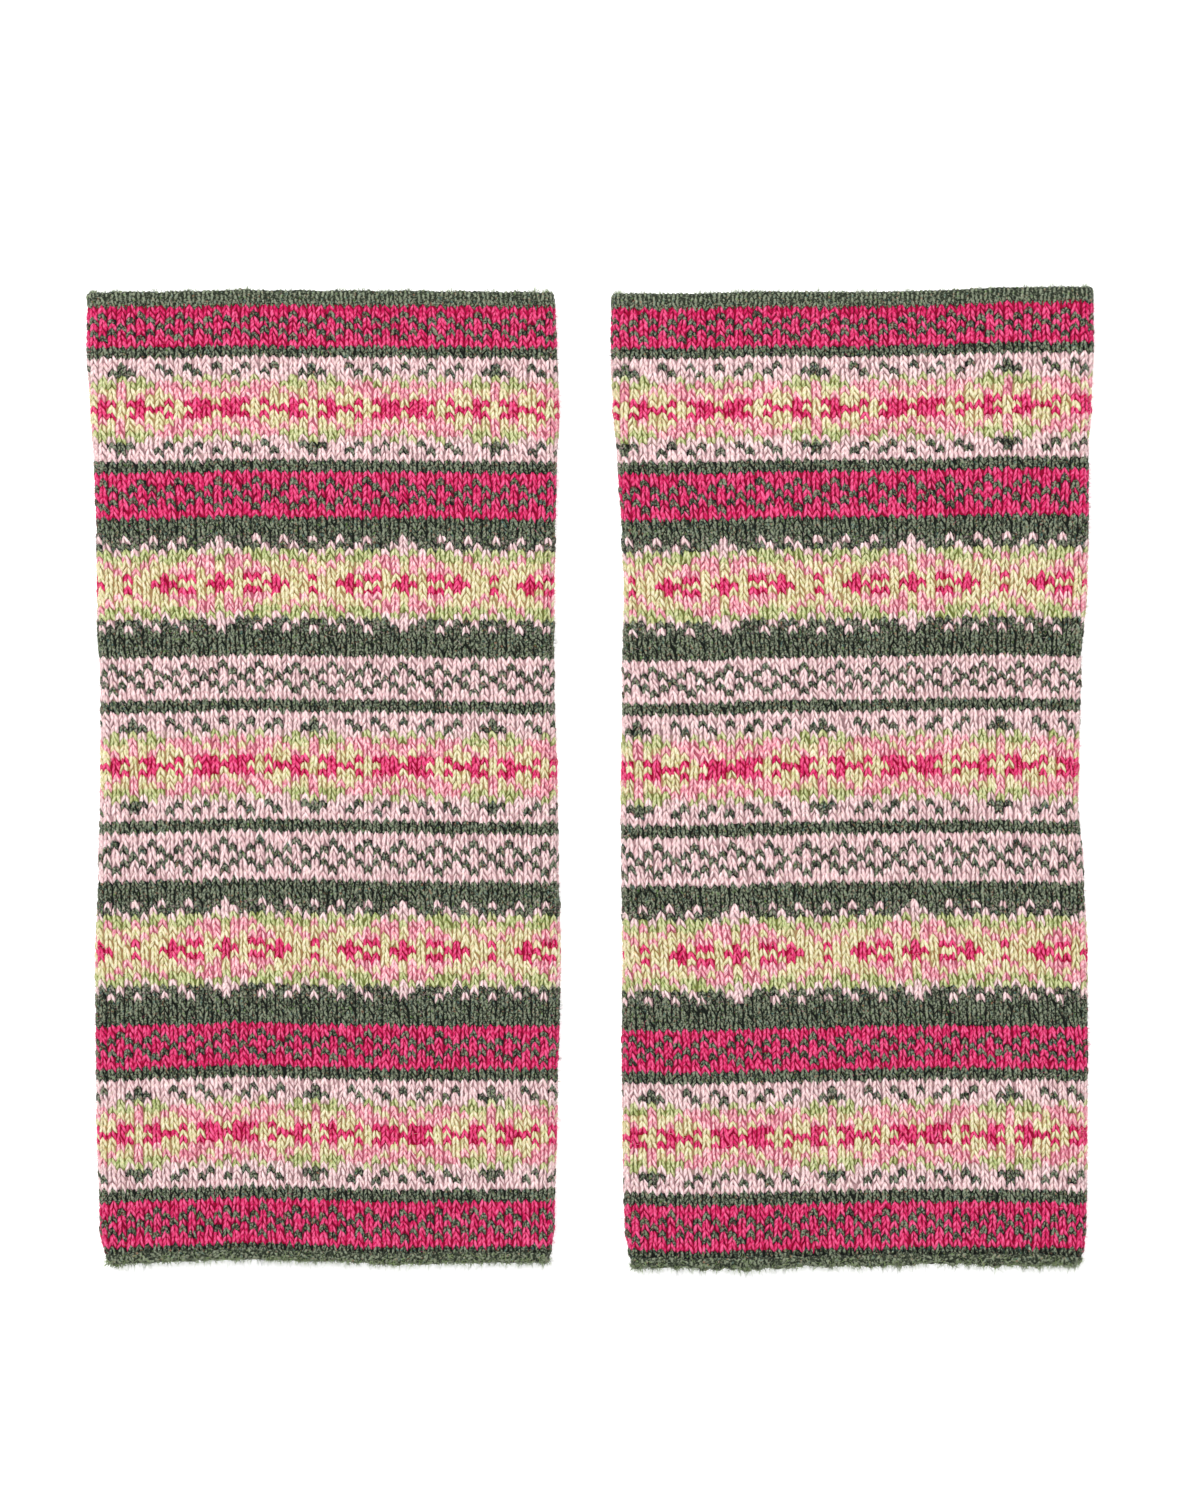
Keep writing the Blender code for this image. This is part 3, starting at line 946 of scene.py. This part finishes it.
def make_strokes(name, skin, strokes, material, random):
    """The short strokes of yarn that cover a rim's front, its folds and its free edge."""
    rim, profile = skin.rim, skin.profile
    first, last = np.interp(np.radians([strokes.first, strokes.last]), profile.turn, profile.way)
    length = rim_round(skin.warmer, rim)
    columns = 2 * int(0.5 * length / strokes.apart)
    ways = np.arange(first, last, strokes.step)
    column_at, way = (part.ravel() for part in np.meshgrid(np.arange(columns), ways))
    count = len(way)
    s = column_at * length / columns + random.normal(0.0, strokes.stray, count)
    way = way + random.normal(0.0, strokes.stray, count) + 0.5 * strokes.step * (column_at % 2)
    tilt = strokes.tilt * np.where(column_at % 2, 1.0, -1.0)
    tilt = np.radians(tilt + random.normal(0.0, strokes.spread, count))
    left, right = half_widths(skin.warmer, rim.middle_down)
    facing = flat_loop(s, left, right, 2.0 * rim.wall + RIM_SLIT, 0.0)[3]
    shown = facing > STITCHED_DOWN_TO
    s, way, tilt = (part[shown][:, None, None] for part in (s, way, tilt))
    count = len(s)

    ring = by_ring(STROKE)
    size = 1.0 + random.normal(0.0, STROKE_SIZES, (count, 1, 1))
    lengthwise = strokes.length * size * ring["along"]
    aside = strokes.half_width * size * ring["half_width"] * np.sin(LEG_TURNS)
    aside = aside + random.normal(0.0, strokes.curl, (count, 1, 1)) * (4.0 * ring["along"] ** 2 - 0.5)
    stand = random.normal(0.0, STROKE_STANDS, (count, 1, 1))
    rise = ring["crest"] + stand - STROKE_DEPTH * (1.0 - np.cos(LEG_TURNS))
    points = on_skin(
        skin,
        s + lengthwise * np.sin(tilt) + aside * np.cos(tilt),
        way + lengthwise * np.cos(tilt) - aside * np.sin(tilt),
        np.broadcast_to(rise, (count, len(STROKE), len(LEG_TURNS))),
    ).reshape(-1, 3)
    along = STROKE_STRETCH * ring["along"].ravel()
    # painted shade: the roll's strokes get darker up towards its crease with the tube
    lighter = strokes.lighter - strokes.darkening * way / MM
    paint = yarn_paint(np.full(count, GREEN), along, STROKE_SUNK, random, lighter, strokes.uneven)
    return mesh_piece(name, points, repeated_faces(LEG_FACES, LEG_POINTS, count), material, **paint)


# ------ Loose fibres ------

HAIR_TURNS = np.radians([90.0, 210.0, 330.0])
HAIR_POINTS = 7
HAIR_FACES = np.array([
    [0, 1, 4], [0, 4, 3], [1, 2, 5], [1, 5, 4], [2, 0, 3], [2, 3, 5], [3, 4, 6], [4, 5, 6], [5, 3, 6],
])

# A patch of loose fibres: how many, how long and thick, how far they stand up from the skin (from 0, flat,
# to 1, upright), and how much they bend
Fuzz = namedtuple("Fuzz", "count length radius upright bend")

FOLD_FUZZ = Fuzz(2800, 1.0 * MM, 0.03 * MM, 0.75, 0.5)
FRONT_FUZZ = Fuzz(2000, 1.1 * MM, 0.022 * MM, 0.25, 0.6)
WELT_FUZZ = Fuzz(1000, 0.9 * MM, 0.03 * MM, 0.7, 0.6)
ROLL_FUZZ = Fuzz(2400, 1.35 * MM, 0.038 * MM, 0.55, 0.6)
ROLL_FELT = Fuzz(600, 1.0 * MM, 0.05 * MM, 0.15, 0.5)
WELT_FUZZ_TURNS = (55.0, 125.0)     # the turns of a rim's skin that its loose fibres grow between
ROLL_FUZZ_TURNS = (-150.0, -15.0)
ROLL_FELT_TURNS = (-80.0, 45.0)
IN_A_TUFT = 6                   # the loose fibres of the rims grow in tufts of about so many ...
TUFT_WIDTH = 0.4 * MM           # ... of about this width ...
TUFTS_PAST = 0.06               # ... over the front and this share of the way round past its ends
LOOSE_GREEN = linear(150, 170, 118)     # the palest of the dark green wool's loose fibres
RIM_TONES = (0.2, 0.35, 0.45)   # how many of them are in its middle, its light and that palest tone
FOLD_TONES = (0.7, 0.3)         # how many at the tube's folds are in their yarn's middle and light tones
FOLD_REACH = (0.05, 0.75)       # the shares of the way down round a fold that its fibres grow between
FOLD_WALES = (-3, 46)           # the wales that run by the left and the right fold
STRAYED = 3                     # a fibre has the yarn of a stitch up to so many rows and wales away
ROOT_RISE = 0.05 * MM           # how far above the skin the fibres start
LOWEST = 0.03 * MM              # no fibre goes lower than this above the table
UPRIGHT_SPREAD = 0.25           # how much the fibres differ in how upright they are ...
LENGTH_SPREAD = 0.45            # ... and in length, on a scale of powers of e ...
LONGEST = 2.0                   # ... up to so many of their usual lengths
MOST_BENT = 1.5                 # no fibre bends more than so many times the usual bend
HAIR_SHAPE = ((0.5, 0.12), (0.9, 0.40))  # how far a fibre's middle and its tip follow its aim and its bend
HAIR_TAPER = 0.8                # how thick a fibre's middle is against its root


def unit(vectors):
    """The vectors, made one long."""
    return vectors / np.linalg.norm(vectors, axis=-1, keepdims=True)


def grow_hairs(place, s, way, fuzz, random):
    """Points of thin, bent, pointed hairs on a skin; place(s, way, rise) gives points on it."""
    count = len(s)
    tiny = 0.05 * MM
    rise = np.full(count, ROOT_RISE)
    root = place(s, way, rise)
    beside = unit(place(s + tiny, way, rise) - root)
    outward = unit(place(s, way, rise + tiny) - root)
    onward = np.cross(outward, beside)
    angle = random.uniform(0.0, 2.0 * pi, (count, 1))
    upright = np.clip(random.normal(fuzz.upright, UPRIGHT_SPREAD, (count, 1)), 0.05, 1.0)
    flat = beside * np.cos(angle) + onward * np.sin(angle)
    aim = unit(upright * outward + (1.0 - upright) * flat + 0.001)
    length = fuzz.length * np.minimum(np.exp(random.normal(0.0, LENGTH_SPREAD, (count, 1))), LONGEST)
    bend = fuzz.bend * np.clip(random.normal(0.0, 1.0, (count, 3)), -MOST_BENT, MOST_BENT)
    middle, tip = (root + length * (ahead * aim + bent * bend) for ahead, bent in HAIR_SHAPE)
    across = unit(np.cross(aim, flat + 0.3 * outward + 0.01))
    over = np.cross(aim, across)
    circle = [across * np.cos(turn) + over * np.sin(turn) for turn in HAIR_TURNS]
    low = [root + fuzz.radius * way_round for way_round in circle]
    high = [middle + HAIR_TAPER * fuzz.radius * way_round for way_round in circle]
    points = np.stack([*low, *high, tip], axis=1)
    points[..., 2] = np.maximum(points[..., 2], LOWEST)
    return points


def make_fuzz(name, patches, material):
    """One piece of loose fibres, from patches of hair points and their colours."""
    points = np.concatenate([patch for patch, _ in patches])
    colors = np.concatenate([color for _, color in patches])
    rgba = np.concatenate([colors, np.ones((len(colors), 1))], axis=1)
    faces = repeated_faces(HAIR_FACES, HAIR_POINTS, len(points))
    tint = np.repeat(rgba, HAIR_POINTS, axis=0)
    return mesh_piece(name, points.reshape(-1, 3), faces, material, tint=tint)


def tube_fuzz(warmer, random):
    """The loose fibres of the front and of the two folds, each in a tone of a stitch near it."""
    tones = np.array([[yarn.middle[:3], yarn.light[:3]] for yarn in YARNS])
    start, end = WELT_DEPTH, length_of(warmer) - ROLL_DEPTH
    patches = []
    for fuzz, at_folds in ((FRONT_FUZZ, False), (FOLD_FUZZ, True)):
        down = random.uniform(start, end, fuzz.count)
        if at_folds:
            left, right = half_widths(warmer, down)
            span = left + right - TUBE_HEIGHT
            turned = random.uniform(*FOLD_REACH, fuzz.count) * (0.5 * pi * TUBE_HEIGHT)
            s = np.where(random.random(fuzz.count) < 0.5, span + turned, -turned)
            wale = np.where(s > 0.0, FOLD_WALES[1], FOLD_WALES[0])
        else:
            wale = random.uniform(*FOLD_WALES, fuzz.count)
            s = wale_place(warmer, wale, down)
        row = np.searchsorted(row_level(warmer, np.arange(ROWS)), down) - 1
        stray = random.integers(-STRAYED, STRAYED + 1, fuzz.count)
        yarns = CHART[np.clip(row + stray, 0, ROWS - 1), (np.round(wale).astype(int) + stray) % WALES]
        lit = random.choice(2, fuzz.count, p=FOLD_TONES) if at_folds else 1
        patches.append((grow_hairs(partial(on_tube, warmer), s, down, fuzz, random), tones[yarns, lit]))
    return patches


def rim_fuzz(skin, turns, fuzz, random):
    """The loose fibres of a welt or a rolled edge."""
    rim = skin.rim
    first, last = np.interp(np.radians(turns), skin.profile.turn, skin.profile.way)
    past = TUFTS_PAST * rim_round(skin.warmer, rim)
    left, right = half_widths(skin.warmer, rim.middle_down)
    span = left + right + 2.0 * rim.proud - 2.0 * rim.wall - RIM_SLIT
    tufts = random.uniform(-past, span + past, fuzz.count // IN_A_TUFT)
    s = random.choice(tufts, fuzz.count) + random.normal(0.0, TUFT_WIDTH, fuzz.count)
    way = random.uniform(first, last, fuzz.count)
    points = grow_hairs(partial(on_skin, skin), s, way, fuzz, random)
    tones = np.array([YARNS[GREEN].middle[:3], YARNS[GREEN].light[:3], LOOSE_GREEN[:3]])
    return points, tones[random.choice(3, fuzz.count, p=RIM_TONES)]


def fuzz_material():
    """Single wool fibres."""
    nodes = Nodes("loose_fibres")
    nodes.give(nodes.shader.inputs["Base Color"], nodes.attribute("tint").outputs["Color"])
    nodes.shading({"Roughness": 0.7, "Specular IOR Level": 0.2})
    return nodes.material


# ------ Floor, light and camera ------

PIXEL = 0.215 * MM              # one pixel of the photo, on the warmers' front
PHOTO = (1200, 1500)
PHOTO_MIDDLE = (10.5, 28.0)     # its middle, in pixels from the zero of the warmers' middles and tops
CAMERA_DISTANCE = 1.1           # from the camera to the warmers' front
FLOOR_SIZE = 4.0
FLOOR_DROP = 0.02 * MM          # how far the floor lies under the warmers
FLOOR_SHADING = {
    "Base Color": (0.9, 0.9, 0.9, 1.0), "Roughness": 0.9, "Specular IOR Level": 0.0,
    "Emission Color": (1.0, 1.0, 1.0, 1.0),
    "Emission Strength": 0.50,  # the table glows, so the warmers cast hardly any shadow
}
SKY_STRENGTH = 0.70

# The lamps: where they hang, their size and their power
LIGHTS = (("key", (-0.45, 0.75, 1.1), 0.9, 14.0), ("fill", (0.7, -0.3, 1.2), 1.0, 4.0))


def make_stage(shift_x, shift_y):
    """A pale floor, soft light from above and a camera that looks straight down."""
    scene = bpy.context.scene
    scene.view_settings.view_transform = "Standard"
    bpy.ops.mesh.primitive_plane_add(size=FLOOR_SIZE, location=(0.0, 0.0, -FLOOR_DROP))
    floor = bpy.context.object
    floor.name = "floor"
    nodes = Nodes("pale_floor")
    nodes.shading(FLOOR_SHADING)
    floor.data.materials.append(nodes.material)

    world = bpy.data.worlds.new("studio")
    world.use_nodes = True
    background = world.node_tree.nodes["Background"]
    background.inputs["Color"].default_value = (1.0, 1.0, 1.0, 1.0)
    background.inputs["Strength"].default_value = SKY_STRENGTH
    scene.world = world

    for name, place, size, power in LIGHTS:
        data = bpy.data.lights.new(name, "AREA")
        data.shape = "DISK"
        data.size = size
        data.energy = power
        light = bpy.data.objects.new(name, data)
        light.location = place
        light.rotation_euler = (-Vector(place)).to_track_quat("-Z", "Y").to_euler()
        scene.collection.objects.link(light)

    camera_data = bpy.data.cameras.new("camera")
    camera_data.sensor_width = 36.0
    camera_data.lens = camera_data.sensor_width * CAMERA_DISTANCE / (PHOTO[1] * PIXEL)
    camera_data.clip_start = 0.01
    camera_data.clip_end = 20.0
    camera = bpy.data.objects.new("camera", camera_data)
    camera.location = (PHOTO_MIDDLE[0] * PIXEL + shift_x, PHOTO_MIDDLE[1] * PIXEL + shift_y,
                       TUBE_HEIGHT + CAMERA_DISTANCE)
    scene.collection.objects.link(camera)
    scene.camera = camera


# ------ The pair ------

# The lumps of the two rims: their waves once round, and about how high they are
WELT_LUMPS = ((9, 17, 31, 53), 0.10 * MM)
ROLL_LUMPS = ((7, 13, 23, 41, 67), 0.26 * MM)
WELT_SHRINK = 0.10 * MM         # the strokes stand on slightly smaller bodies
ROLL_SHRINK = 0.24 * MM
ROLL_TUCK = 0.85 * MM           # how much of the roll's depth is turned under
ROLL_OVERLAP = 0.5 * MM         # how far the roll lies over the tube's end

Materials = namedtuple("Materials", "yarns cloth felt fuzz")


def make_warmer(warmer, materials):
    """One warmer with all its pieces."""
    random = np.random.default_rng(warmer.seed)
    side = warmer.side
    tube = make_tube(warmer, materials.cloth)
    patterned = [tube, *make_stitches(warmer, materials.yarns, random)]
    patterned.append(make_fuzz(side + "_tube_fuzz", tube_fuzz(warmer, random), materials.fuzz))

    welt = Rim(0.5 * WELT_DEPTH, WELT_DEPTH, WELT_WALL, WELT_PROUD, WELT_SQUARENESS)
    roll_middle = length_of(warmer) - 0.5 * (ROLL_DEPTH + ROLL_OVERLAP + ROLL_TUCK)
    roll = Rim(roll_middle, ROLL_DEPTH + ROLL_OVERLAP - ROLL_TUCK, ROLL_WALL, 0.0, ROLL_SQUARENESS)
    green = []
    hairs = []
    welt_fuzz = ((WELT_FUZZ_TURNS, WELT_FUZZ),)
    roll_fuzz = ((ROLL_FUZZ_TURNS, ROLL_FUZZ), (ROLL_FELT_TURNS, ROLL_FELT))
    for name, rim, shrink, waves, strokes, loose, node in (
        ("_welt", welt, WELT_SHRINK, WELT_LUMPS, WELT_STROKES, welt_fuzz, "_top_welt"),
        ("_roll", roll, ROLL_SHRINK, ROLL_LUMPS, ROLL_STROKES, roll_fuzz, "_bottom_edge"),
    ):
        skin = Skin(warmer, rim, profile_of(rim, shrink), make_lumps(*waves, random))
        body = make_rim(side + name, skin, materials.felt)
        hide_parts(side + node)
        green.append(body)
        green.append(make_strokes(f"{side}{name}_strokes", skin, strokes, materials.yarns[GREEN], random))
        for turns, fuzz in loose:
            hairs.append(rim_fuzz(skin, turns, fuzz, random))
    green.append(make_fuzz(side + "_rim_fuzz", hairs, materials.fuzz))

    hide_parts(side + "_tube")
    for piece in (*patterned, *green):
        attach(piece, "root")


def main():
    """Makes the materials, both warmers and the stage."""
    yarns = [
        yarn_material(name + "_yarn", yarn, flecks, HEATHER_SCALE if name == "dark_green" else MARL_SCALE)
        for name, yarn, flecks in zip(YARN_NAMES, YARNS, FLECKS)
    ]
    felt = felt_material("dark_green_felt", YARNS[GREEN])
    materials = Materials(yarns, cloth_material(), felt, fuzz_material())
    for warmer in WARMERS:
        moved, shift_x, shift_y = placed(warmer)
        make_warmer(moved, materials)
    make_stage(shift_x, shift_y)


main()
